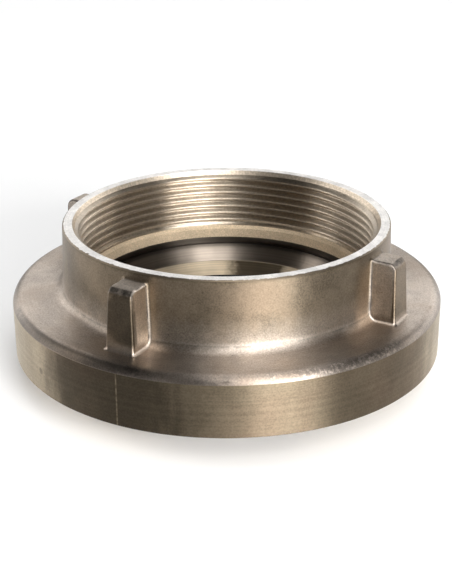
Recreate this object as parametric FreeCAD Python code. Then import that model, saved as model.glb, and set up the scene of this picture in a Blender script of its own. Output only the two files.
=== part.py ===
"""Fixed half of a quarter-turn claw coupling for a fire hose, with a threaded neck.

Sizes are in millimetres.  +Z points to the thread, the two claws point down and the
part rests on their tips, so z = 0 is the plane of the claw tips.
"""
import math
import os

import FreeCAD
import Part
from FreeCAD import Vector

# Waterway: widths are steps in radius, lengths run along the axis
THREAD_RADIUS = 43.94         # major radius of the 3 inch pipe thread
LEAD_IN_WIDTH = 0.81          # lead-in cone at the mouth
LEAD_IN_DEPTH = 1.5
THROAT_WIDTH = 2.54           # threaded wall in to the cast throat
RUN_OUT_HEIGHT = 2.0          # cone from the threaded wall to the cast throat
THROAT_HEIGHT = 2.8
RELIEF_WIDTH = 1.2            # turned recess under the throat
RELIEF_HEIGHT = 2.3
FUNNEL_EDGE_WIDTH = 0.4       # throat in to the top of the turned funnel
FUNNEL_WIDTH = 3.5
FUNNEL_HEIGHT = 4.4
BORE_LENGTH = 5.2

THROAT_RADIUS = THREAD_RADIUS - THROAT_WIDTH
RELIEF_RADIUS = THROAT_RADIUS + RELIEF_WIDTH
FUNNEL_RADIUS = THROAT_RADIUS - FUNNEL_EDGE_WIDTH
BORE_RADIUS = FUNNEL_RADIUS - FUNNEL_WIDTH      # 37.5, the nominal 75 mm waterway

# Seal and its seat in the hub face
SEAL_SEAT_WIDTH = 4.0         # bore out to the wall of the seat
SEAL_SEAT_DEPTH = 4.6
SEAL_BEAD_REACH = 0.8         # snap groove in the wall of the seat
SEAL_BEAD_HEIGHT = 1.8
SEAL_BEAD_OFFSET = 0.9        # roof of the seat to the snap groove
SEAL_CLEARANCE = 0.05
SEAL_BORE_CLEARANCE = 0.5     # inside of the seal back from the bore
SEAL_PROUD = 1.2              # lip of the seal below the hub face
SEAL_LIP_WIDTH = 2.0

SEAL_SEAT_RADIUS = BORE_RADIUS + SEAL_SEAT_WIDTH
SEAL_BORE_RADIUS = BORE_RADIUS + SEAL_BORE_CLEARANCE

# Claw side, from the hub out to the rim; heights are measured from the rim face
HUB_WALL = 2.5                # wall round the seal seat
HUB_PROUD = 0.5               # hub face below the rim face
HUB_CLAW_CLEARANCE = 0.5
CLAW_COUNT = 2
CLAW_ANGLE = 36.0             # width of a claw as seen along the axis
CLAW_LEG_THICKNESS = 7.5
CLAW_NOSE_REACH = 3.0         # nose beyond the leg
CLAW_NOSE_THICKNESS = 3.2
CLAW_EDGE = 0.8
CLAW_LIP_CLEARANCE = 1.0      # leg of the claw to the inner edge of the lip
LIP_WIDTH = 5.5
LIP_THICKNESS = 4.5
LIP_GAP_ANGLE = 44.0          # opening in the lip that lets a mating claw in
COUPLED_GAP = 1.3             # between the rim faces of two coupled halves
RIM_WALL = 4.5
CHANNEL_DEPTH = 11.5          # channel the mating claws run in
CHANNEL_FILLET = 1.5
CHANNEL_ROOF = 6.0            # metal between the channel and the top of the flange

HUB_RADIUS = SEAL_SEAT_RADIUS + HUB_WALL
CLAW_INNER_RADIUS = HUB_RADIUS + HUB_CLAW_CLEARANCE      # 89 mm between the two claws
CLAW_LEG_RADIUS = CLAW_INNER_RADIUS + CLAW_LEG_THICKNESS
CLAW_REACH = LIP_THICKNESS + COUPLED_GAP + CLAW_NOSE_THICKNESS
LIP_RADIUS = CLAW_LEG_RADIUS + CLAW_LIP_CLEARANCE
CHANNEL_RADIUS = LIP_RADIUS + LIP_WIDTH

# Rim and flange
RIM_EDGE = 0.3                # broken lower edge of the turned wall
FLANGE_ROUND = 3.0            # cast round between flange top and turned wall
FLANGE_ROUND_RISE = 2.2       # the turning leaves this much of the round's height

RIM_RADIUS = CHANNEL_RADIUS + RIM_WALL
FLANGE_HEIGHT = CHANNEL_DEPTH + CHANNEL_ROOF
RIM_WALL_HEIGHT = FLANGE_HEIGHT - FLANGE_ROUND_RISE

# Neck
NECK_RISE = 20.2              # top of the flange to the faced end
NECK_WALL = 3.66              # thread to the outside at the end
NECK_DRAFT = 0.6              # the cast outside is wider by this at its foot
NECK_FOOT_FILLET = 3.0
NECK_EDGE = 0.4               # broken outer edge of the faced end

NECK_HEIGHT = FLANGE_HEIGHT + NECK_RISE
NECK_TOP_RADIUS = THREAD_RADIUS + NECK_WALL
NECK_FOOT_RADIUS = NECK_TOP_RADIUS + NECK_DRAFT

# Spanner lugs
LUG_COUNT = 4
LUG_TURN = 30.5               # first lug, turned from the front towards the left
LUG_DROP = 2.6                # top of a lug below the faced end
LUG_REACH = 7.7               # neck to the outer face, at the flange
LUG_DRAFT = 0.7               # the outer face leans in by this up to its round
LUG_FOOT_WIDTH = 8.9
LUG_SIDE_DRAFT = 0.75         # each side leans in by this up to the top
LUG_ROUND = 2.5               # outer top corner
LUG_EDGE = 0.7
LUG_FILLET = 1.0              # lug to neck and flange
LUG_ROOT = 2.0                # lug runs this far into the wall of the neck

LUG_HEIGHT = NECK_HEIGHT - LUG_DROP
LUG_FOOT_RADIUS = NECK_FOOT_RADIUS + LUG_REACH
LUG_TOP_RADIUS = LUG_FOOT_RADIUS - LUG_DRAFT
LUG_TOP_WIDTH = LUG_FOOT_WIDTH - 2 * LUG_SIDE_DRAFT
LUG_ROOT_RADIUS = NECK_TOP_RADIUS - LUG_ROOT


def point(radius, height):
    """Point of a turned profile; heights are measured from the rim face."""
    return Vector(radius, 0, CLAW_REACH + height)


def polyline_face(points):
    return Part.Face(Part.makePolygon(list(points) + [points[0]]))


def turned(face):
    return face.revolve(Vector(0, 0, 0), Vector(0, 0, 1), 360)


def sector(inner, outer, bottom, top, angle, centre_angle):
    """Piece of a ring; angle is its full width and centre_angle its middle, in degrees."""
    face = polyline_face([point(inner, bottom), point(outer, bottom),
                          point(outer, top), point(inner, top)])
    piece = face.revolve(Vector(0, 0, 0), Vector(0, 0, 1), angle)
    piece.rotate(Vector(0, 0, 0), Vector(0, 0, 1), centre_angle - angle / 2)
    return piece


def edges_where(shape, test):
    """Edges whose middle point passes the test, given radius, height and angle."""
    found = []
    for edge in shape.Edges:
        first, last = edge.ParameterRange
        middle = edge.valueAt((first + last) / 2)
        radius = math.hypot(middle.x, middle.y)
        angle = math.degrees(math.atan2(middle.y, middle.x))
        if test(radius, middle.z - CLAW_REACH, angle, edge):
            found.append(edge)
    return found


def outer_skin():
    """Neck, flange, rim and hub as one solid of revolution without its waterway."""
    round_rise = FLANGE_HEIGHT - RIM_WALL_HEIGHT
    round_run = math.sqrt(2 * FLANGE_ROUND * round_rise - round_rise ** 2)
    round_centre = RIM_RADIUS - round_run
    half_turn = math.atan2(round_run, FLANGE_ROUND - round_rise) / 2
    round_middle = point(round_centre + FLANGE_ROUND * math.sin(half_turn),
                         FLANGE_HEIGHT - FLANGE_ROUND + FLANGE_ROUND * math.cos(half_turn))

    axis_bottom, axis_top = point(0, -HUB_PROUD), point(0, NECK_HEIGHT)
    neck_edge_in = point(NECK_TOP_RADIUS - NECK_EDGE, NECK_HEIGHT)
    neck_edge_out = point(NECK_TOP_RADIUS, NECK_HEIGHT - NECK_EDGE)
    fillet_top = point(NECK_FOOT_RADIUS, FLANGE_HEIGHT + NECK_FOOT_FILLET)
    fillet_foot = point(NECK_FOOT_RADIUS + NECK_FOOT_FILLET, FLANGE_HEIGHT)
    inward = NECK_FOOT_FILLET * (1 - math.sqrt(0.5))
    fillet_middle = point(NECK_FOOT_RADIUS + inward, FLANGE_HEIGHT + inward)
    flange_end = point(round_centre, FLANGE_HEIGHT)
    wall_top, wall_foot = point(RIM_RADIUS, RIM_WALL_HEIGHT), point(RIM_RADIUS, RIM_EDGE)
    rim_face, hub_foot = point(RIM_RADIUS - RIM_EDGE, 0), point(HUB_RADIUS, 0)
    hub_face = point(HUB_RADIUS, -HUB_PROUD)

    outline = [
        Part.LineSegment(axis_bottom, axis_top),
        Part.LineSegment(axis_top, neck_edge_in),
        Part.LineSegment(neck_edge_in, neck_edge_out),
        Part.LineSegment(neck_edge_out, fillet_top),
        Part.Arc(fillet_top, fillet_middle, fillet_foot),
        Part.LineSegment(fillet_foot, flange_end),
        Part.Arc(flange_end, round_middle, wall_top),
        Part.LineSegment(wall_top, wall_foot),
        Part.LineSegment(wall_foot, rim_face),
        Part.LineSegment(rim_face, hub_foot),
        Part.LineSegment(hub_foot, hub_face),
        Part.LineSegment(hub_face, axis_bottom),
    ]
    return turned(Part.Face(Part.Wire([curve.toShape() for curve in outline])))


def waterway():
    """Everything that is removed on the axis, from the thread to the seal seat."""
    seat_roof = SEAL_SEAT_DEPTH - HUB_PROUD
    funnel_foot = seat_roof + BORE_LENGTH
    relief_floor = funnel_foot + FUNNEL_HEIGHT
    throat_foot = relief_floor + RELIEF_HEIGHT
    throat_top = throat_foot + THROAT_HEIGHT
    bead_top = seat_roof - SEAL_BEAD_OFFSET
    bead_foot = bead_top - SEAL_BEAD_HEIGHT
    bead_radius = SEAL_SEAT_RADIUS + SEAL_BEAD_REACH
    mouth_radius = THREAD_RADIUS + LEAD_IN_WIDTH
    above, below = NECK_HEIGHT + 1, -1
    return turned(polyline_face([
        point(0, above), point(mouth_radius, above), point(mouth_radius, NECK_HEIGHT),
        point(THREAD_RADIUS, NECK_HEIGHT - LEAD_IN_DEPTH),
        point(THREAD_RADIUS, throat_top + RUN_OUT_HEIGHT),
        point(THROAT_RADIUS, throat_top),
        point(THROAT_RADIUS, throat_foot),
        point(RELIEF_RADIUS, throat_foot),
        point(RELIEF_RADIUS, relief_floor),
        point(FUNNEL_RADIUS, relief_floor),
        point(BORE_RADIUS, funnel_foot),
        point(BORE_RADIUS, seat_roof),
        point(SEAL_SEAT_RADIUS, seat_roof),
        point(SEAL_SEAT_RADIUS, bead_top),
        point(bead_radius, bead_top),
        point(bead_radius, bead_foot),
        point(SEAL_SEAT_RADIUS, bead_foot),
        point(SEAL_SEAT_RADIUS, below),
        point(0, below),
    ]))


def claw_channel():
    """Ring-shaped channel between hub and rim wall, with the lip left standing at the face."""
    ring = turned(polyline_face([
        point(HUB_RADIUS, -1), point(LIP_RADIUS, -1), point(LIP_RADIUS, LIP_THICKNESS),
        point(CHANNEL_RADIUS, LIP_THICKNESS), point(CHANNEL_RADIUS, CHANNEL_DEPTH),
        point(HUB_RADIUS, CHANNEL_DEPTH),
    ]))
    roof_corners = edges_where(ring, lambda radius, height, angle, edge: (
        abs(height - CHANNEL_DEPTH) < 0.01 and len(edge.Vertexes) == 1))
    cut = ring.makeFillet(CHANNEL_FILLET, roof_corners)
    for number in range(CLAW_COUNT):
        middle = 90 + number * 360 / CLAW_COUNT
        cut = cut.fuse(sector(LIP_RADIUS - 1, CHANNEL_RADIUS, -1, LIP_THICKNESS + 1,
                              LIP_GAP_ANGLE, middle))
    return cut


def claw(centre_angle):
    """One claw: a leg that stands in the channel and a nose that points outwards at its tip."""
    nose_radius = CLAW_LEG_RADIUS + CLAW_NOSE_REACH
    nose_top = CLAW_NOSE_THICKNESS - CLAW_REACH
    roof = CHANNEL_DEPTH + 1
    section = polyline_face([
        point(CLAW_INNER_RADIUS, -CLAW_REACH), point(nose_radius, -CLAW_REACH),
        point(nose_radius, nose_top), point(CLAW_LEG_RADIUS, nose_top),
        point(CLAW_LEG_RADIUS, roof), point(CLAW_INNER_RADIUS, roof)])
    shape = section.revolve(Vector(0, 0, 0), Vector(0, 0, 1), CLAW_ANGLE)
    outside = edges_where(shape, lambda radius, height, angle, edge: (
        height < roof - 0.1 and abs(radius - CLAW_LEG_RADIUS) + abs(height - nose_top) > 0.1))
    shape = shape.makeFillet(CLAW_EDGE, outside)
    shape.rotate(Vector(0, 0, 0), Vector(0, 0, 1), centre_angle - CLAW_ANGLE / 2)
    root = sector(HUB_RADIUS - 1, CLAW_INNER_RADIUS + 1, 0, roof, CLAW_ANGLE, centre_angle)
    return shape.fuse(root)


def lug():
    """One spanner lug, standing at angle 0 on the flange and against the neck."""
    foot = FLANGE_HEIGHT - 1
    draft = (LUG_FOOT_RADIUS - LUG_TOP_RADIUS) / (LUG_HEIGHT - LUG_ROUND - FLANGE_HEIGHT)
    foot_radius = LUG_FOOT_RADIUS + draft
    corner = LUG_ROUND * (1 - math.sqrt(0.5))
    root_foot, root_top = point(LUG_ROOT_RADIUS, foot), point(LUG_ROOT_RADIUS, LUG_HEIGHT)
    round_top = point(LUG_TOP_RADIUS - LUG_ROUND, LUG_HEIGHT)
    round_middle = point(LUG_TOP_RADIUS - corner, LUG_HEIGHT - corner)
    round_foot = point(LUG_TOP_RADIUS, LUG_HEIGHT - LUG_ROUND)
    outer_foot = point(foot_radius, foot)
    side = Part.Face(Part.Wire([curve.toShape() for curve in (
        Part.LineSegment(root_foot, root_top),
        Part.LineSegment(root_top, round_top),
        Part.Arc(round_top, round_middle, round_foot),
        Part.LineSegment(round_foot, outer_foot),
        Part.LineSegment(outer_foot, root_foot),
    )]))
    side.translate(Vector(0, -LUG_FOOT_WIDTH, 0))
    side_view = side.extrude(Vector(0, 2 * LUG_FOOT_WIDTH, 0))

    half_slope = (LUG_FOOT_WIDTH - LUG_TOP_WIDTH) / 2 / (LUG_HEIGHT - FLANGE_HEIGHT)
    half_foot = LUG_FOOT_WIDTH / 2 + half_slope
    half_top = LUG_TOP_WIDTH / 2
    base, crown = CLAW_REACH + foot, CLAW_REACH + LUG_HEIGHT
    front = polyline_face([Vector(0, -half_foot, base), Vector(0, half_foot, base),
                           Vector(0, half_top, crown), Vector(0, -half_top, crown)])
    front_view = front.extrude(Vector(foot_radius + 1, 0, 0))
    shape = side_view.common(front_view)
    soft = edges_where(shape, lambda radius, height, angle, edge: (
        height > foot + 0.5 and radius > LUG_ROOT_RADIUS + 2
        and abs(edge.BoundBox.YLength) < 1.0))
    return shape.makeFillet(LUG_EDGE, soft)


def lug_angles():
    return [270 - LUG_TURN + number * 360 / LUG_COUNT for number in range(LUG_COUNT)]


def coupling_body():
    body = outer_skin()
    for angle in lug_angles():
        piece = lug()
        piece.rotate(Vector(0, 0, 0), Vector(0, 0, 1), angle)
        body = body.fuse(piece)
    joints = edges_where(body, is_lug_joint)
    body = body.makeFillet(LUG_FILLET, joints)
    body = body.cut(waterway()).cut(claw_channel())
    for number in range(CLAW_COUNT):
        body = body.fuse(claw(number * 360 / CLAW_COUNT))
    return body.removeSplitter()


def is_lug_joint(radius, height, angle, edge):
    """Edges where a lug meets the neck, its foot fillet or the flange."""
    if height < FLANGE_HEIGHT - 0.1 or height > LUG_HEIGHT + 0.1:
        return False
    if len(edge.Vertexes) < 2 or radius > LUG_FOOT_RADIUS + 0.5:
        return False
    near = min(abs((angle - lug_angle + 180) % 360 - 180) for lug_angle in lug_angles())
    side = abs(radius * math.sin(math.radians(near)))
    if side > LUG_FOOT_WIDTH / 2 + 0.5:
        return False
    on_flange = abs(height - FLANGE_HEIGHT) < 0.05
    on_neck = radius < NECK_FOOT_RADIUS + 0.05
    in_fillet = (radius < NECK_FOOT_RADIUS + NECK_FOOT_FILLET
                 and height < FLANGE_HEIGHT + NECK_FOOT_FILLET)
    return on_flange or on_neck or in_fillet


def face_seal():
    """Rubber ring snapped into the hub face, with a rounded lip that stands proud."""
    roof = SEAL_SEAT_DEPTH - HUB_PROUD - SEAL_CLEARANCE
    outer = SEAL_SEAT_RADIUS - SEAL_CLEARANCE
    bead_top = roof - SEAL_BEAD_OFFSET
    bead_foot = bead_top - SEAL_BEAD_HEIGHT + 2 * SEAL_CLEARANCE
    bead_outer = outer + SEAL_BEAD_REACH
    face = -HUB_PROUD
    tip = face - SEAL_PROUD
    ring = turned(polyline_face([
        point(SEAL_BORE_RADIUS, roof), point(outer, roof),
        point(outer, bead_top), point(bead_outer, bead_top),
        point(bead_outer, bead_foot), point(outer, bead_foot),
        point(outer, face), point(SEAL_BORE_RADIUS + SEAL_LIP_WIDTH, face),
        point(SEAL_BORE_RADIUS + SEAL_LIP_WIDTH, tip), point(SEAL_BORE_RADIUS, tip),
    ]))
    lip_edges = edges_where(ring, lambda radius, height, angle, edge: (
        abs(height - tip) < 0.01 and len(edge.Vertexes) == 1))
    return ring.makeFillet(0.4 * SEAL_PROUD, lip_edges)


def main():
    os.makedirs("parts", exist_ok=True)
    nodes = {"coupling_body": coupling_body(), "face_seal": face_seal()}
    for name, shape in nodes.items():
        solids = shape.Solids
        if len(solids) != 1 or not solids[0].isValid():
            raise RuntimeError("%s is not one valid solid" % name)
        solids[0].exportStep("parts/%s.step" % name)


main()
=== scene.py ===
"""Finishes, thread and studio for the threaded half of a quarter-turn hose coupling.

The CAD model is the frame: +Z points to the thread, the part rests on its claw tips at
z = 0, and every length here is in metres. Azimuth 0 is at the front, and positive azimuths
go round to the right.
"""
import math

import bpy
import bmesh
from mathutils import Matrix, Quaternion, Vector


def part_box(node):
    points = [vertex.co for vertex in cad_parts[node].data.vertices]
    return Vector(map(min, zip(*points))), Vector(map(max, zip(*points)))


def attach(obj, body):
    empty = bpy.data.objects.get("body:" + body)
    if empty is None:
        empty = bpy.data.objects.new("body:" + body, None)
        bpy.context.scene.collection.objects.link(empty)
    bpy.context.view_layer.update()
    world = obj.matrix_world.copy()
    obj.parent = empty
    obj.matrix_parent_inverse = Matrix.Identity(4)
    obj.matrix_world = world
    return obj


bl_info = {
    "name": "Hose Coupling Finishes",
    "version": (1, 0, 0),
    "blender": (4, 5, 0),
    "location": "View3D > Sidebar > Coupling",
    "description": "Adds the pipe thread, the cast and turned finishes and the studio of a hose coupling",
    "category": "Object",
}

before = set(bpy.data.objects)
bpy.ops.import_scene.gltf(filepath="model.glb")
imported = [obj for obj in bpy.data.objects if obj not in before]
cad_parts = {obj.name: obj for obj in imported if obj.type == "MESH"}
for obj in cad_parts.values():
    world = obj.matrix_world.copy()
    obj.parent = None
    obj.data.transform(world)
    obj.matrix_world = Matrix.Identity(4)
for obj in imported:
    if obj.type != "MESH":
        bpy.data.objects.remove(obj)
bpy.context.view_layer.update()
MM = 0.001


def at_mm(x, y, z):
    """Place on the coupling, from millimetres."""
    return x * MM, y * MM, z * MM


# Radii, and heights above the claw tips
BODY_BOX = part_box("coupling_body")
CLAW_REACH = 9.0 * MM               # height of the rim face
BORE_TOP = CLAW_REACH + 9.3 * MM
FUNNEL_TOP = CLAW_REACH + 13.7 * MM
FLANGE_TOP = CLAW_REACH + 17.5 * MM
NECK_END = BODY_BOX[1][2]           # height of the neck's faced end
NECK_EDGE = 47.2 * MM               # middle of the broken outer edge of the faced end
THREAD_MOUTH = 44.75 * MM           # where the lead-in cone meets the faced end
SHADED_GROOVE = 43.00 * MM             # radii between which the thread goes from painted shade in the grooves to a painted highlight on its crest
LIT_CREST = 42.52 * MM
LUG_ROOT = 47.9 * MM                # radii between which the spanner rubs the lugs, whose sides are also painted lighter as lit
LUG_TIP = 55.1 * MM
RIM_RADIUS = BODY_BOX[1][0]

# Marks on the metal, some of them painted shade or a painted highlight: the places of the spots, and
# their size
RIM_BLEMISHES = ((at_mm(-51.06, -36.90, 15.61), at_mm(-62.71, 6.08, 19.07)), 1.3 * MM)
EDGE_CHIPS = ((at_mm(-38.08, -28.51, 46.70), at_mm(-30.60, -36.46, 46.70),
               at_mm(27.30, -39.00, 46.70)), 1.0 * MM)
# Painted shade: a darker patch on the front left of the rim, in place of a dim reflection
RIM_PAINTED_SHADE = ((at_mm(-31.5, -54.6, 16.0),), 27.0 * MM)
# Painted shade: a darker patch on the outer face of the front left lug, in place of a dim reflection
LUG_PAINTED_SHADE = ((at_mm(-27.9, -47.4, 35.0),), 20.0 * MM)
# Painted shade: a brown patch at the back of the bore, in place of a dim reflection
BORE_PAINTED_SHADE = ((at_mm(10.5, 36.0, 14.5),), 13.0 * MM)
# Worn scuffing on the rounded edge of the flange at the front right, partly a painted highlight
ROUND_SCUFFS_AND_HIGHLIGHT = ((at_mm(28.1, -55.2, 25.6),), 24.0 * MM)  # on the rounded edge of the flange
# Painted shade: a darker patch on the rounded edge of the flange at the front left, in place of a dim
# reflection
ROUND_PAINTED_SHADE = ((at_mm(-45.3, -42.3, 25.3),), 36.0 * MM)

# Painted shade on the front of the rim and a painted lighter reflection at its sides: the middle of the
# shade, and how far from there it thins out and ends
RIM_SHADED_FRONT = math.radians(5)
RIM_LIT_FROM = (math.radians(46), math.radians(66))

FLOOR_REACH = 4.0                   # from the coupling to the floor's edges
LAMP_AIM = at_mm(0, 0, 30)
VIEW_MIDDLE = at_mm(-0.26, 0, 23.05)

# Softboxes: azimuth and elevation in degrees, width and height in metres
SOFTBOXES = {
    "key": (30, 14, 0.94, 0.60),
    "front": (14, 41, 0.80, 1.10),
    "back": (180, 28, 1.60, 0.80),
    "left": (-120, 14, 1.70, 0.60),
    "side": (-92, 31, 0.50, 0.50),
    "flank": (80, 14, 0.90, 0.50),
    "right": (126, 14, 1.50, 0.60),
    "top": (60, 80, 0.90, 0.90),
}


class CouplingThreadSizes(bpy.types.PropertyGroup):
    """Sizes of the pipe thread inside the neck."""

    pitch: bpy.props.FloatProperty(
        name="Pitch", description="Rise of one turn, 11 turns to the inch",
        default=2.309 * MM, min=0.5 * MM, precision=4, unit="LENGTH")
    major_radius: bpy.props.FloatProperty(
        name="Major radius", description="Bottom of the thread grooves",
        default=43.94 * MM, precision=4, unit="LENGTH")
    depth: bpy.props.FloatProperty(
        name="Depth", description="Height of the ridge from groove to crest",
        default=1.479 * MM, precision=4, unit="LENGTH")
    foot: bpy.props.FloatProperty(
        name="Foot", description="Lower end of the ridge, inside the run-out cone",
        default=CLAW_REACH + 19.5 * MM, precision=4, unit="LENGTH")
    fade: bpy.props.FloatProperty(
        name="Run-out", description="Height over which the last turn loses its depth",
        default=2.6 * MM, precision=4, unit="LENGTH")
    mouth_radius: bpy.props.FloatProperty(
        name="Mouth radius", description="Lead-in cone at the faced end",
        default=THREAD_MOUTH, precision=4, unit="LENGTH")
    lead_in: bpy.props.FloatProperty(
        name="Lead-in depth", description="Depth at which the lead-in cone meets the grooves",
        default=1.5 * MM, precision=4, unit="LENGTH")
    mouth_depth: bpy.props.FloatProperty(
        name="Mouth depth", description="Depth at which the steeper cut of the crests starts",
        default=1.3 * MM, precision=4, unit="LENGTH")
    mouth_run: bpy.props.FloatProperty(
        name="Mouth run", description="How far the cut of the crests runs in for each rise",
        default=2.5)
    turn: bpy.props.FloatProperty(
        name="Turn", description="Turns the thread about the waterway",
        default=math.radians(6.4), subtype="ANGLE", unit="ROTATION")


class CouplingFinishes(bpy.types.PropertyGroup):
    """Colours and roughness of the alloy and the rubber."""

    cast_colour: bpy.props.FloatVectorProperty(
        name="Cast alloy", description="Blasted skin of the neck, lugs and claws",
        subtype="COLOR", size=3, min=0, max=1, default=(0.183, 0.146, 0.104))
    # Greyer flange, partly painted lighter as light falling on its top
    lit_flange_colour: bpy.props.FloatVectorProperty(
        name="Flange", description="Greyer top of the flange",
        subtype="COLOR", size=3, min=0, max=1, default=(0.45, 0.385, 0.328))
    # Rubbed sides of the lugs, partly painted lighter as reflected light
    rubbed_and_lit_colour: bpy.props.FloatVectorProperty(
        name="Rubbed alloy", description="Sides of the lugs, rubbed by the spanner",
        subtype="COLOR", size=3, min=0, max=1, default=(0.62, 0.55, 0.48))
    # Painted shade: this darker colour holds on the front of the rim
    turned_colour: bpy.props.FloatVectorProperty(
        name="Turned alloy", description="Turned wall of the rim",
        subtype="COLOR", size=3, min=0, max=1, default=(0.185, 0.148, 0.102))
    # Painted reflection: the lighter colour at the sides of the rim stands in for bright reflections
    # there
    rim_lit_side_colour: bpy.props.FloatVectorProperty(
        name="Lit alloy", description="Turned wall of the rim where it is less shaded",
        subtype="COLOR", size=3, min=0, max=1, default=(0.39, 0.325, 0.235))
    stain_colour: bpy.props.FloatVectorProperty(
        name="Stain", description="Brown tarnish in soft patches on the skin and the rim",
        subtype="COLOR", size=3, min=0, max=1, default=(0.182, 0.133, 0.092))
    faced_colour: bpy.props.FloatVectorProperty(
        name="Faced alloy", description="Bright faced end of the neck",
        subtype="COLOR", size=3, min=0, max=1, default=(0.86, 0.835, 0.805))
    throat_colour: bpy.props.FloatVectorProperty(
        name="Throat", description="Matt tan band under the thread",
        subtype="COLOR", size=3, min=0, max=1, default=(0.63, 0.51, 0.362))
    funnel_colour: bpy.props.FloatVectorProperty(
        name="Funnel", description="Grey brown of the funnel, and of the recess above it",
        subtype="COLOR", size=3, min=0, max=1, default=(0.245, 0.208, 0.172))
    bore_colour: bpy.props.FloatVectorProperty(
        name="Bore", description="Glossy turned bore",
        subtype="COLOR", size=3, min=0, max=1, default=(0.66, 0.55, 0.40))
    # Painted shade: colour of the patch at the back of the bore, in place of a dim reflection
    bore_shade_colour: bpy.props.FloatVectorProperty(
        name="Shade", description="Brown patch at the back of the bore",
        subtype="COLOR", size=3, min=0, max=1, default=(0.10, 0.08, 0.055))
    thread_colour: bpy.props.FloatVectorProperty(
        name="Thread", description="Cut flanks and crests of the thread",
        subtype="COLOR", size=3, min=0, max=1, default=(0.47, 0.40, 0.317))
    rubber_colour: bpy.props.FloatVectorProperty(
        name="Rubber", description="Face seal",
        subtype="COLOR", size=3, min=0, max=1, default=(0.022, 0.021, 0.02))
    flange_roughness: bpy.props.FloatProperty(
        name="Flange roughness", description="Gloss of the flange and its fillets",
        default=0.41, min=0, max=1, subtype="FACTOR")
    neck_roughness: bpy.props.FloatProperty(
        name="Neck roughness", description="Gloss of the neck wall and the lugs",
        default=0.50, min=0, max=1, subtype="FACTOR")
    turned_roughness: bpy.props.FloatProperty(
        name="Turned roughness", description="Gloss of the turned walls",
        default=0.46, min=0, max=1, subtype="FACTOR")
    scribe_angle: bpy.props.FloatProperty(
        name="Scribed line", description="Azimuth of the upright line on the rim",
        default=math.radians(-27.3), subtype="ANGLE", unit="ROTATION")


class CouplingStudio(bpy.types.PropertyGroup):
    """Floor, lamps and camera."""

    floor_colour: bpy.props.FloatVectorProperty(
        name="Floor", description="Plain pale floor",
        subtype="COLOR", size=3, min=0, max=1, default=(0.90, 0.90, 0.90))
    floor_lift: bpy.props.FloatProperty(
        name="Floor lift", description="Extra white of the floor as the camera and the metal see it",
        default=0.09, min=0, max=1, subtype="FACTOR")
    camera_distance: bpy.props.FloatProperty(
        name="Distance", description="Camera to the middle of the view",
        default=380.4 * MM, unit="LENGTH")
    camera_elevation: bpy.props.FloatProperty(
        name="Elevation", description="Camera above the horizon",
        default=math.radians(23.30), subtype="ANGLE", unit="ROTATION")
    camera_roll: bpy.props.FloatProperty(
        name="Roll", description="Camera turned about its own axis",
        default=math.radians(-0.25), subtype="ANGLE", unit="ROTATION")
    camera_lens: bpy.props.FloatProperty(
        name="Lens", description="Focal length in millimetres on a 36 mm sensor",
        default=78.59)
    lamp_distance: bpy.props.FloatProperty(
        name="Lamp distance", description="Softboxes to the coupling",
        default=1.6, unit="LENGTH")
    key_level: bpy.props.FloatProperty(
        name="Key", description="Power of the low softbox in front on the right, in watts",
        default=37.0)
    front_level: bpy.props.FloatProperty(
        name="Front", description="Power of the raised softbox in front, in watts",
        default=14.0)
    back_level: bpy.props.FloatProperty(
        name="Back", description="Power of the wide softbox behind, in watts",
        default=6.0)
    left_level: bpy.props.FloatProperty(
        name="Left", description="Power of the low softbox behind on the left, in watts",
        default=9.0)
    side_level: bpy.props.FloatProperty(
        name="Side", description="Power of the small raised softbox on the left, in watts",
        default=3.5)
    flank_level: bpy.props.FloatProperty(
        name="Flank", description="Power of the low softbox on the right, in watts",
        default=1.6)
    right_level: bpy.props.FloatProperty(
        name="Right", description="Power of the low softbox behind on the right, in watts",
        default=8.5)
    top_level: bpy.props.FloatProperty(
        name="Top", description="Power of the softbox overhead, in watts",
        default=6.0)
    air_level: bpy.props.FloatProperty(
        name="Air", description="Brightness of the air around the studio",
        default=0.04)


def shape_from(name, mesh_builder):
    """Object made from a bmesh, placed in the scene."""
    mesh = bpy.data.meshes.new(name)
    mesh_builder.to_mesh(mesh)
    mesh_builder.free()
    shape = bpy.data.objects.new(name, mesh)
    bpy.context.scene.collection.objects.link(shape)
    return shape


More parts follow.
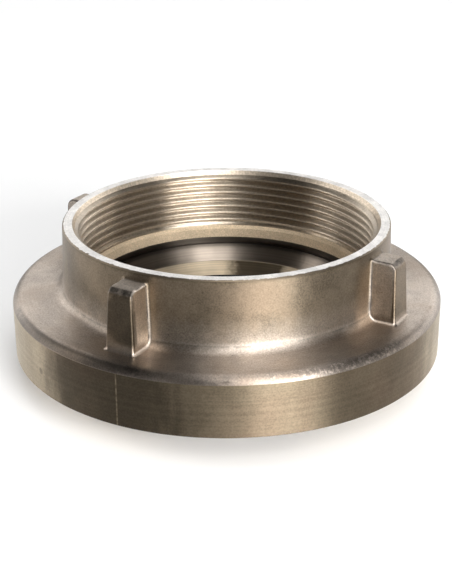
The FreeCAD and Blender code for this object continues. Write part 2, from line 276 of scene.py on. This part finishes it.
class NodeBench:
    """Short calls for building one node material."""

    def __init__(self, name):
        self.material = bpy.data.materials.new(name)
        self.material.use_nodes = True
        self.tree = self.material.node_tree
        self.tree.nodes.clear()
        self.shader = self.node("BsdfPrincipled")
        self.node("OutputMaterial", {"Surface": self.shader.outputs["BSDF"]})
        coordinates = self.node("TexCoord")
        self.place = coordinates.outputs["Object"]
        self.facing = coordinates.outputs["Normal"]

    def feed(self, node, inputs):
        """Gives a node constants or the outputs of other nodes, in order or by name."""
        pairs = inputs.items() if isinstance(inputs, dict) else enumerate(inputs)
        for key, value in pairs:
            if isinstance(value, bpy.types.NodeSocket):
                self.tree.links.new(value, node.inputs[key])
            elif value is not None:
                node.inputs[key].default_value = value

    def node(self, kind, inputs=(), **settings):
        node = self.tree.nodes.new("ShaderNode" + kind)
        for name, value in settings.items():
            setattr(node, name, value)
        self.feed(node, inputs)
        return node

    def math(self, operation, *values):
        return self.node("Math", values, operation=operation).outputs[0]

    def plus(self, first, *others):
        for other in others:
            first = self.math("ADD", first, other)
        return first

    def times(self, first, *others):
        for other in others:
            first = self.math("MULTIPLY", first, other)
        return first

    def unsettled(self, value, ragged, reach):
        """Value moved up or down by a noise, by half of the reach at most."""
        return self.plus(value, self.math("MULTIPLY_ADD", ragged, reach, -reach / 2))

    def ramp(self, value, start, end, low=0.0, high=1.0):
        """Smooth step from low, where the value is at start, to high, where it is at end."""
        return self.node("MapRange", (value, start, end, low, high),
                         interpolation_type="SMOOTHSTEP").outputs[0]

    def separate(self, vector):
        return self.node("SeparateXYZ", (vector,)).outputs

    def height(self):
        return self.separate(self.place)[2]

    def radius(self):
        x, y, _ = self.separate(self.place)
        return self.math("SQRT", self.plus(self.times(x, x), self.times(y, y)))

    def off_azimuth(self, azimuth):
        """Angle between a place and an azimuth."""
        x, y, _ = self.separate(self.place)
        own = self.math("ARCTAN2", x, self.times(y, -1.0))
        return self.math("ABSOLUTE", self.math("SUBTRACT", own, azimuth))

    def on_edge(self, flat, rounded):
        """1 where the surface faces none of outward, sideways or up, as on a rounded edge."""
        x, y, _ = self.separate(self.place)
        across, along, up = self.separate(self.facing)
        outward = self.plus(self.times(x, across), self.times(y, along))
        sideways = self.math("SUBTRACT", self.times(x, along), self.times(y, across))
        level = self.math("MAXIMUM", self.math("ABSOLUTE", outward),
                          self.math("ABSOLUTE", sideways))
        level = self.math("DIVIDE", level, self.radius())
        return self.ramp(self.math("MAXIMUM", level, self.math("ABSOLUTE", up)), flat, rounded)

    def noise(self, scale, detail=3.0, roughness=0.5, stretch=None):
        """Noise over the surface; stretch multiplies the place before it is read."""
        source = self.place
        if stretch:
            source = self.node("VectorMath", (source, stretch), operation="MULTIPLY").outputs[0]
        return self.node("TexNoise", {"Vector": source, "Scale": scale, "Detail": detail,
                                      "Roughness": roughness}).outputs["Fac"]

    def noise_along(self, value, scale, detail=3.0):
        """Noise that changes only with one number, for rings and turning marks."""
        return self.node("TexNoise", {"W": value, "Scale": scale, "Detail": detail},
                         noise_dimensions="1D").outputs["Fac"]

    def blot(self, mark, ragged):
        """1 inside the spots of a mark, whose outlines a noise makes ragged, and 0 outside."""
        places, size = mark
        spots = 0.0
        for middle in places:
            away = self.node("VectorMath", (self.place, middle), operation="DISTANCE")
            away = self.unsettled(away.outputs["Value"], ragged, size)
            spots = self.math("MAXIMUM", spots, self.ramp(away, size, size / 2))
        return spots

    def mix(self, factor, first, second):
        """First colour where the factor is 0, second where it is 1; inputs 6 and 7 take them."""
        first, second = (colour if isinstance(colour, bpy.types.NodeSocket) else (*colour, 1.0)
                         for colour in (first, second))
        return self.node("Mix", {0: factor, 6: first, 7: second}, data_type="RGBA").outputs[2]

    def dim(self, colour, tone):
        """Colour multiplied by a brightness."""
        if not isinstance(colour, bpy.types.NodeSocket):
            colour = tuple(colour)
        return self.node("VectorMath", {0: colour, "Scale": tone}, operation="SCALE").outputs[0]

    def marked(self, tone, mark, level):
        """Brightness, multiplied by a level inside a mark."""
        return self.times(tone, self.ramp(mark, 0.0, 1.0, 1.0, level))

    def bump(self, height, distance, strength, under=None):
        """Normal of a surface with fine relief, on top of the relief under it."""
        return self.node("Bump", {"Strength": strength, "Distance": distance, "Height": height,
                                  "Normal": under}).outputs["Normal"]

    def finish(self, colour, roughness, normal, metallic=1.0, grooves=0.0):
        """Material; grooves round the waterway spread its highlights across them."""
        self.feed(self.shader, {"Base Color": colour, "Roughness": roughness,
                                "Normal": normal, "Metallic": metallic})
        if grooves:
            tangent = self.node("Tangent", direction_type="RADIAL", axis="Z").outputs[0]
            self.feed(self.shader, {"Anisotropic": grooves, "Anisotropic Rotation": 0.25,
                                    "Tangent": tangent})
        return self.material


def shade(colour, factor):
    """Plain colour made lighter or darker."""
    return tuple(min(1.0, part * factor) for part in colour)


def cast_skin(finishes):
    """Blasted skin of the casting: grey flange partly painted lighter as top light, brown neck, lugs
    rubbed and painted lighter as lit, scuffing with a painted highlight, and painted shade in patches, on
    edges and under the faced end.
    """
    bench = NodeBench("cast_skin")
    radius, height = bench.radius(), bench.height()
    mottle = bench.ramp(bench.noise(75, 5, 0.62), 0.32, 0.68)
    grain = bench.noise(2300, 2, 0.6)

    on_neck = bench.ramp(height, FLANGE_TOP + 0.2 * MM, FLANGE_TOP + 3.0 * MM)
    off_round = bench.ramp(radius, RIM_RADIUS - 0.9 * MM, RIM_RADIUS - 2.4 * MM, 0.62, 1.0)
    # Lugs, rubbed by the spanner; their lighter colour is partly a painted reflection
    rubbed = bench.times(bench.ramp(radius, LUG_ROOT, LUG_ROOT + 0.7 * MM),
                         bench.ramp(radius, LUG_TIP, LUG_TIP - 0.5 * MM), on_neck)
    stain = bench.ramp(bench.noise(38, 4, 0.6), 0.45, 0.70, 0.0, 0.55)
    # Flange colour, partly painted lighter as light falling on its top
    flange = bench.dim(finishes.lit_flange_colour, off_round)
    alloy = bench.mix(on_neck, flange, finishes.cast_colour)
    # Rubbed lugs, painted lighter partly as reflected light
    alloy = bench.mix(rubbed, alloy, finishes.rubbed_and_lit_colour)
    alloy = bench.mix(stain, alloy, finishes.stain_colour)

    specks = bench.ramp(bench.noise(1200, 1, 0.5), 0.66, 0.78, 0.0, -0.28)
    streaks = bench.ramp(bench.noise_along(radius, 1400, 3), 0.35, 0.65, 0.97, 1.03)
    # Painted shade: the neck wall is darkened just under the edge of the faced end
    shade_under_edge = bench.ramp(height, NECK_END - 1.1 * MM, NECK_END - 0.1 * MM, 1.0, 0.62)
    tone = bench.plus(bench.ramp(mottle, 0.0, 1.0, 0.78, 1.12),
                      bench.ramp(grain, 0.30, 0.72, -0.14, 0.22), specks)
    tone = bench.times(tone, streaks, shade_under_edge)

    # Painted shade: the outer face of the front left lug is darkened, in place of a dim reflection
    painted_dark = bench.times(bench.blot(LUG_PAINTED_SHADE, mottle),
                       bench.ramp(radius, LUG_TIP - 1.8 * MM, LUG_TIP - 0.8 * MM),
                       bench.ramp(height, FLANGE_TOP + 1.0 * MM, FLANGE_TOP + 4.0 * MM))
    # Painted shade: the rounded edges of the lugs are darkened in patches, breaking up their highlights
    shaded_edge = bench.times(bench.on_edge(0.97, 0.90), rubbed,
                            bench.ramp(bench.noise(330, 4, 0.6), 0.36, 0.60, 0.50, 1.0))
    on_round = bench.times(bench.ramp(radius, RIM_RADIUS - 2.4 * MM, RIM_RADIUS - 1.2 * MM),
                           bench.ramp(height, FLANGE_TOP - 2.4 * MM, FLANGE_TOP - 1.8 * MM))
    # Scuffing on the flange round, brightened partly as a painted highlight where the edge catches light
    scuffs_and_highlight = bench.times(bench.blot(ROUND_SCUFFS_AND_HIGHLIGHT, mottle), on_round,
                         bench.ramp(bench.noise(900, 4, 0.7), 0.50, 0.58))
    # Painted shade: the rounded edge of the flange is darkened at the front left
    round_shade = bench.times(bench.blot(ROUND_PAINTED_SHADE, bench.noise(380, 5, 0.7)), on_round)
    # Painted shade, scuffing with a painted highlight, and rubbed edges, laid on the tone
    for mark, level in ((painted_dark, 0.45), (shaded_edge, 0.28), (scuffs_and_highlight, 1.7), (round_shade, 0.52)):
        tone = bench.marked(tone, mark, level)

    roughness = bench.plus(
        bench.ramp(height, FLANGE_TOP + 3.0 * MM, FLANGE_TOP + 5.5 * MM,
                   finishes.flange_roughness, finishes.neck_roughness),
        bench.ramp(bench.noise(60, 3), 0.25, 0.75, -0.03, 0.04), bench.times(rubbed, 0.12))
    pits = bench.bump(grain, 0.04 * MM, 0.45)
    waves = bench.bump(bench.noise(140, 2, 0.5), 0.10 * MM, 0.5, pits)
    return bench.finish(bench.dim(alloy, tone), roughness, waves, grooves=0.85)


def turned_wall(finishes):
    """Turned outside of the rim: level marks, tarnish, painted shade on the front and a painted lighter
    reflection at the sides, blemishes and an upright scribed line.
    """
    bench = NodeBench("turned_wall")
    height = bench.height()
    marks = bench.noise_along(height, 9000, 4)
    grain = bench.noise(2000, 2, 0.6)

    stain = bench.ramp(bench.noise(30, 4, 0.6), 0.45, 0.72, 0.0, 0.7)
    off_front = bench.unsettled(bench.off_azimuth(RIM_SHADED_FRONT),
                                bench.noise(160, 4, 0.6, (1, 1, 0.15)), 0.5)
    alloy = bench.mix(stain, finishes.turned_colour, finishes.stain_colour)
    # Painted shade on the front of the rim, thinning out to a painted lighter reflection at its sides
    alloy = bench.mix(bench.ramp(off_front, *RIM_LIT_FROM), alloy, finishes.rim_lit_side_colour)

    clouds = bench.ramp(bench.noise(55, 5, 0.65), 0.35, 0.70)
    # Painted shade: the rim is darkened in a patch on its front left, in place of a dim reflection
    painted_dark = bench.blot(RIM_PAINTED_SHADE, bench.noise(110, 4, 0.6, (1, 1, 0.3)))
    line = bench.times(bench.ramp(bench.off_azimuth(finishes.scribe_angle),
                                  0.30 * MM / RIM_RADIUS, 0.10 * MM / RIM_RADIUS),
                       bench.ramp(bench.noise_along(height, 700, 3), 0.35, 0.60, 0.35, 1.0))
    blemish = bench.blot(RIM_BLEMISHES, bench.noise(700, 4, 0.7, (1, 1, 0.45)))
    tone = bench.plus(bench.ramp(bench.noise_along(height, 900, 2), 0.35, 0.65, 0.92, 1.04),
                      bench.ramp(grain, 0.30, 0.72, -0.10, 0.16))
    tone = bench.times(tone, bench.ramp(clouds, 0.0, 1.0, 0.86, 1.06))
    tone = bench.plus(bench.marked(tone, painted_dark, 0.50), bench.times(line, 0.9))
    tone = bench.marked(tone, blemish, 0.62)

    roughness = bench.ramp(marks, 0.3, 0.7, finishes.turned_roughness - 0.04,
                           finishes.turned_roughness + 0.05)
    turning = bench.bump(marks, 0.01 * MM, 0.5)
    return bench.finish(bench.dim(alloy, tone), roughness,
                        bench.bump(grain, 0.02 * MM, 0.4, turning), grooves=0.95)


def faced_end(finishes):
    """Bright faced end of the neck: facing rings, a worn outer edge and a dull lead-in."""
    bench = NodeBench("faced_end")
    radius = bench.radius()
    rings = bench.noise_along(radius, 5000, 3)
    ragged = bench.noise(620, 5, 0.7)
    fine = bench.noise(1500, 2, 0.6)

    edge = bench.ramp(bench.unsettled(radius, ragged, 0.8 * MM),
                      NECK_EDGE - 0.12 * MM, NECK_EDGE + 0.10 * MM)
    worn = bench.math("MAXIMUM", edge, bench.blot(EDGE_CHIPS, ragged))
    tone = bench.times(bench.ramp(rings, 0.3, 0.7, 0.94, 1.05),
                       bench.ramp(bench.noise(260, 3, 0.6), 0.28, 0.72, 0.84, 1.08),
                       bench.ramp(fine, 0.30, 0.70, 0.91, 1.06))
    face = bench.mix(worn, bench.dim(finishes.faced_colour, tone), finishes.cast_colour)
    cone = bench.dim(shade(finishes.thread_colour, 1.25),
                     bench.ramp(fine, 0.35, 0.70, 0.75, 1.10))
    in_cone = bench.ramp(radius, THREAD_MOUTH + 0.05 * MM, THREAD_MOUTH - 0.15 * MM)
    return bench.finish(bench.mix(in_cone, face, cone), bench.ramp(rings, 0.3, 0.7, 0.42, 0.50),
                        bench.bump(rings, 0.008 * MM, 0.5), grooves=0.4)


def throat_skin(finishes):
    """Matt tan throat between the thread and the recess."""
    bench = NodeBench("throat_skin")
    grain = bench.noise(2300, 2, 0.6)
    tone = bench.times(bench.ramp(grain, 0.30, 0.70, 0.84, 1.14),
                       bench.ramp(bench.noise(150, 4, 0.6), 0.30, 0.70, 0.90, 1.06))
    return bench.finish(bench.dim(finishes.throat_colour, tone), 0.58,
                        bench.bump(grain, 0.04 * MM, 0.6), metallic=0.8)


def turned_bore(finishes):
    """Glossy turned bore with a brown patch of painted shade, its funnel, and painted shade in the recess
    above them.
    """
    bench = NodeBench("turned_bore")
    height = bench.height()
    marks = bench.noise_along(height, 6000, 3)

    in_funnel = bench.ramp(height, BORE_TOP - 0.4 * MM, BORE_TOP)
    # Painted shade: brown patch at the back of the bore, in place of a dim reflection
    patch = bench.times(bench.blot(BORE_PAINTED_SHADE, bench.noise(160, 4, 0.6)),
                        bench.math("SUBTRACT", 1.0, in_funnel))
    alloy = bench.mix(in_funnel, finishes.bore_colour, finishes.funnel_colour)
    alloy = bench.mix(patch, alloy, finishes.bore_shade_colour)
    tone = bench.times(bench.ramp(bench.noise(90, 3), 0.3, 0.7, 0.88, 1.12),
                       bench.ramp(bench.noise_along(height, 1500, 2), 0.35, 0.65, 0.90, 1.08),
                       # Painted shade: darker from the top of the funnel up through the recess under the
                       # throat's lip
                       bench.ramp(height, FUNNEL_TOP - 1.6 * MM, FUNNEL_TOP, 1.0, 0.36))
    return bench.finish(bench.dim(alloy, tone), bench.ramp(marks, 0.3, 0.7, 0.32, 0.40),
                        bench.bump(marks, 0.01 * MM, 0.5), grooves=0.9)


def cut_thread(finishes):
    """Cut thread: painted highlights on the crests over painted shade in the grooves."""
    bench = NodeBench("cut_thread")
    # Painted shade in the grooves and a painted highlight on the crests
    tone = bench.times(bench.ramp(bench.radius(), SHADED_GROOVE, LIT_CREST, 0.90, 1.10),
                       bench.ramp(bench.noise(1300, 2, 0.6), 0.30, 0.70, 0.86, 1.12))
    return bench.finish(bench.dim(finishes.thread_colour, tone),
                        bench.ramp(bench.noise(400, 3), 0.3, 0.7, 0.33, 0.41),
                        bench.bump(bench.noise(1800, 2), 0.01 * MM, 0.3), grooves=0.9)


def seal_rubber(finishes):
    """Moulded rubber of the face seal, with a slight bloom."""
    bench = NodeBench("seal_rubber")
    bloom = bench.ramp(bench.noise(120, 4), 0.4, 0.8)
    colour = bench.mix(bloom, finishes.rubber_colour, shade(finishes.rubber_colour, 1.8))
    return bench.finish(colour, bench.ramp(bench.noise(300, 3), 0.3, 0.7, 0.50, 0.64),
                        bench.bump(bench.noise(1500, 3), 0.03 * MM, 0.4), metallic=0.0)


BODY_FINISHES = (cast_skin, turned_wall, faced_end, turned_bore, throat_skin)


class COUPLING_OT_thread(bpy.types.Operator):
    """Add the ridge of the pipe thread inside the neck"""

    bl_idname = "coupling.thread"
    bl_label = "Pipe thread"

    steps_round = 360
    steps_per_turn = 14
    flat_share = 0.10           # share of the pitch that is flat on the crest, and in the groove
    rounding = 0.35             # how far the corners of the ridge are rounded, from 0 to 1
    plain_foot = 0.3 * MM       # height above the foot where the grooves start
    wall_gap = 0.03 * MM        # metal left between the grooves and the wall
    backing = 0.35 * MM         # how far the ridge reaches into the wall behind it

    def smooth(self, share):
        return share * share * (3 - 2 * share)

    def groove(self, share):
        """Depth of the groove, 0 on the crest and 1 at its bottom, over one pitch."""
        flank = abs((share + 0.5) % 1.0 - 0.5) * 2
        depth = min(1.0, max(0.0, (flank - self.flat_share) / (1 - 2 * self.flat_share)))
        return self.smooth(depth) * self.rounding + depth * (1 - self.rounding)

    def wall_radius(self, sizes, angle, height):
        """Radius of the threaded wall, cut back by the lead-in cone and the run-out."""
        share = (height / sizes.pitch - (angle + sizes.turn) / math.tau) % 1.0
        rise = min(1.0, max(0.0, (height - sizes.foot - self.plain_foot) / sizes.fade))
        radius = (sizes.major_radius - sizes.depth
                  + (sizes.depth - self.wall_gap) * self.groove(share) * self.smooth(rise))
        below_mouth = NECK_END - height - sizes.mouth_depth
        return max(radius, self.mouth(sizes) - below_mouth * sizes.mouth_run)

    def mouth(self, sizes):
        """Radius of the lead-in cone at the upper end of the ridge."""
        slope = (sizes.mouth_radius - sizes.major_radius) / sizes.lead_in
        return sizes.mouth_radius - sizes.mouth_depth * slope

    def ring(self, builder, radii, height):
        """Ring of points, one for each radius."""
        points = []
        for step, radius in enumerate(radii):
            angle = math.tau * step / len(radii)
            points.append(builder.verts.new(
                (math.cos(angle) * radius, math.sin(angle) * radius, height)))
        return points

    def execute(self, context):
        sizes = context.scene.coupling_thread
        foot, top = sizes.foot, NECK_END - sizes.mouth_depth
        angles = [math.tau * step / self.steps_round for step in range(self.steps_round)]
        rows = int((top - foot) / sizes.pitch * self.steps_per_turn) + 1
        builder = bmesh.new()
        back_low, back_high = (
            self.ring(builder, [radius + self.backing] * self.steps_round, height)
            for radius, height in ((sizes.major_radius, foot), (self.mouth(sizes), top)))
        rings = [back_low]
        for row in range(rows + 1):
            height = foot + (top - foot) * row / rows
            radii = [self.wall_radius(sizes, angle, height) for angle in angles]
            rings.append(self.ring(builder, radii, height))
        rings += [back_high, back_low]
        for low, high in zip(rings, rings[1:]):
            for step in range(self.steps_round):
                ahead = (step + 1) % self.steps_round
                builder.faces.new((low[step], high[step], high[ahead], low[ahead]))
        bmesh.ops.recalc_face_normals(builder, faces=builder.faces)
        thread = shape_from("pipe_thread", builder)
        for face in thread.data.polygons:
            face.use_smooth = True
        thread.data.materials.append(cut_thread(context.scene.coupling_finishes))
        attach(thread, "root")
        return {"FINISHED"}


class COUPLING_OT_body_finish(bpy.types.Operator):
    """Give the casting its blasted skin and its turned faces"""

    bl_idname = "coupling.body_finish"
    bl_label = "Body finishes"

    # Where the finishes change: radii, heights above the rim face, and how level a face is
    rim_wall_radius = RIM_RADIUS - 0.45 * MM
    rim_wall_top = 15.3 * MM
    faced_end_foot = 37.2 * MM
    lead_in_radius = 44.8 * MM
    lead_in_foot = 36.1 * MM
    recess_radius = 42.9 * MM
    recess_top = 16.05 * MM
    rim_face_heights = (-0.6 * MM, 0.05 * MM)
    throat_radius = 44.2 * MM
    throat_top = 24.0 * MM
    upright = 0.8
    level = 0.7

    def finish_of(self, face):
        """Finish of a face of the body, from its place and the way it faces."""
        radius = math.hypot(face.center.x, face.center.y)
        height = face.center.z - CLAW_REACH
        slope = abs(face.normal.z)
        if (radius > self.rim_wall_radius and height < self.rim_wall_top
                and slope < self.upright):
            return turned_wall
        if (height > self.faced_end_foot
                or (radius < self.lead_in_radius and height > self.lead_in_foot)):
            return faced_end
        if radius < self.recess_radius and height < self.recess_top:
            return turned_bore
        lowest, highest = self.rim_face_heights
        if lowest < height < highest and slope > self.level:
            return turned_bore
        if radius < self.throat_radius and height < self.throat_top:
            return throat_skin
        return cast_skin

    def execute(self, context):
        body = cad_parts["coupling_body"]
        body.data.materials.clear()
        for finish in BODY_FINISHES:
            body.data.materials.append(finish(context.scene.coupling_finishes))
        for face in body.data.polygons:
            face.material_index = BODY_FINISHES.index(self.finish_of(face))
        return {"FINISHED"}


class COUPLING_OT_seal_finish(bpy.types.Operator):
    """Give the face seal its rubber"""

    bl_idname = "coupling.seal_finish"
    bl_label = "Seal rubber"

    def execute(self, context):
        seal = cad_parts["face_seal"]
        seal.data.materials.clear()
        seal.data.materials.append(seal_rubber(context.scene.coupling_finishes))
        return {"FINISHED"}


class COUPLING_OT_studio(bpy.types.Operator):
    """Add the floor, the softboxes and the camera"""

    bl_idname = "coupling.studio"
    bl_label = "Studio"

    def add_floor(self, studio):
        """Pale floor; the camera, metal and glass see it a little whiter than it is lit."""
        builder = bmesh.new()
        bmesh.ops.create_grid(builder, x_segments=1, y_segments=1, size=FLOOR_REACH)
        floor = shape_from("floor", builder)
        bench = NodeBench("pale_floor")
        path = bench.node("LightPath").outputs
        seen = bench.math("MAXIMUM", path["Is Camera Ray"], bench.math(
            "MAXIMUM", path["Is Glossy Ray"], path["Is Transmission Ray"]))
        bench.feed(bench.shader, {
            "Base Color": (*studio.floor_colour, 1), "Roughness": 1.0, "Specular IOR Level": 0.0,
            "Emission Color": (1, 1, 1, 1),
            "Emission Strength": bench.times(seen, studio.floor_lift)})
        floor.data.materials.append(bench.material)

    def stand(self, name, data, aim, azimuth, elevation, distance, roll=0.0):
        """Lamp or camera that looks at a place from an azimuth, an elevation and a distance."""
        toward = Vector((math.sin(azimuth) * math.cos(elevation),
                         -math.cos(azimuth) * math.cos(elevation), math.sin(elevation)))
        holder = bpy.data.objects.new(name, data)
        holder.location = Vector(aim) + toward * distance
        holder.rotation_mode = "QUATERNION"
        holder.rotation_quaternion = (toward.to_track_quat("Z", "Y")
                                      @ Quaternion((0, 0, 1), roll))
        bpy.context.scene.collection.objects.link(holder)
        return holder

    def add_softboxes(self, studio):
        for side, (azimuth, elevation, width, height) in SOFTBOXES.items():
            name = side + "_softbox"
            lamp = bpy.data.lights.new(name, "AREA")
            lamp.shape = "RECTANGLE"
            lamp.size = width
            lamp.size_y = height
            lamp.energy = getattr(studio, side + "_level")
            self.stand(name, lamp, LAMP_AIM, math.radians(azimuth), math.radians(elevation),
                       studio.lamp_distance)

    def add_camera(self, studio):
        camera = bpy.data.cameras.new("camera")
        camera.lens = studio.camera_lens
        camera.sensor_width = 36.0
        camera.sensor_fit = "AUTO"
        camera.clip_start = 0.01
        camera.clip_end = 20.0
        bpy.context.scene.camera = self.stand("camera", camera, VIEW_MIDDLE, 0.0,
                                              studio.camera_elevation, studio.camera_distance,
                                              studio.camera_roll)

    def execute(self, context):
        studio = context.scene.coupling_studio
        self.add_floor(studio)
        self.add_softboxes(studio)
        self.add_camera(studio)
        world = bpy.data.worlds.new("studio_air")
        world.use_nodes = True
        air = world.node_tree.nodes["Background"].inputs
        air["Color"].default_value = (1, 1, 1, 1)
        air["Strength"].default_value = studio.air_level
        context.scene.world = world
        context.scene.view_settings.view_transform = "Standard"
        return {"FINISHED"}


class VIEW3D_PT_coupling(bpy.types.Panel):
    """Lists the coupling's pieces, finishes and studio"""

    bl_idname = "VIEW3D_PT_coupling"
    bl_label = "Hose coupling"
    bl_space_type = "VIEW_3D"
    bl_region_type = "UI"
    bl_category = "Coupling"

    def draw(self, context):
        scene, layout = context.scene, self.layout
        for title, group, buttons in (
                ("Thread", scene.coupling_thread, ("coupling.thread",)),
                ("Finishes", scene.coupling_finishes,
                 ("coupling.body_finish", "coupling.seal_finish")),
                ("Studio", scene.coupling_studio, ("coupling.studio",))):
            box = layout.box()
            box.label(text=title)
            for name in group.bl_rna.properties.keys():
                if name not in ("rna_type", "name"):
                    box.prop(group, name)
            for button in buttons:
                box.operator(button)


GROUPS = (("coupling_thread", CouplingThreadSizes), ("coupling_finishes", CouplingFinishes),
          ("coupling_studio", CouplingStudio))
OPERATORS = (COUPLING_OT_thread, COUPLING_OT_body_finish, COUPLING_OT_seal_finish,
             COUPLING_OT_studio)


def register():
    for name, group in GROUPS:
        bpy.utils.register_class(group)
        setattr(bpy.types.Scene, name, bpy.props.PointerProperty(type=group))
    for operator in OPERATORS:
        bpy.utils.register_class(operator)
    bpy.utils.register_class(VIEW3D_PT_coupling)


def unregister():
    bpy.utils.unregister_class(VIEW3D_PT_coupling)
    for operator in reversed(OPERATORS):
        bpy.utils.unregister_class(operator)
    for name, group in reversed(GROUPS):
        delattr(bpy.types.Scene, name)
        bpy.utils.unregister_class(group)


def main():
    register()
    bpy.ops.coupling.thread()
    bpy.ops.coupling.body_finish()
    bpy.ops.coupling.seal_finish()
    bpy.ops.coupling.studio()


if __name__ == "__main__":
    main()
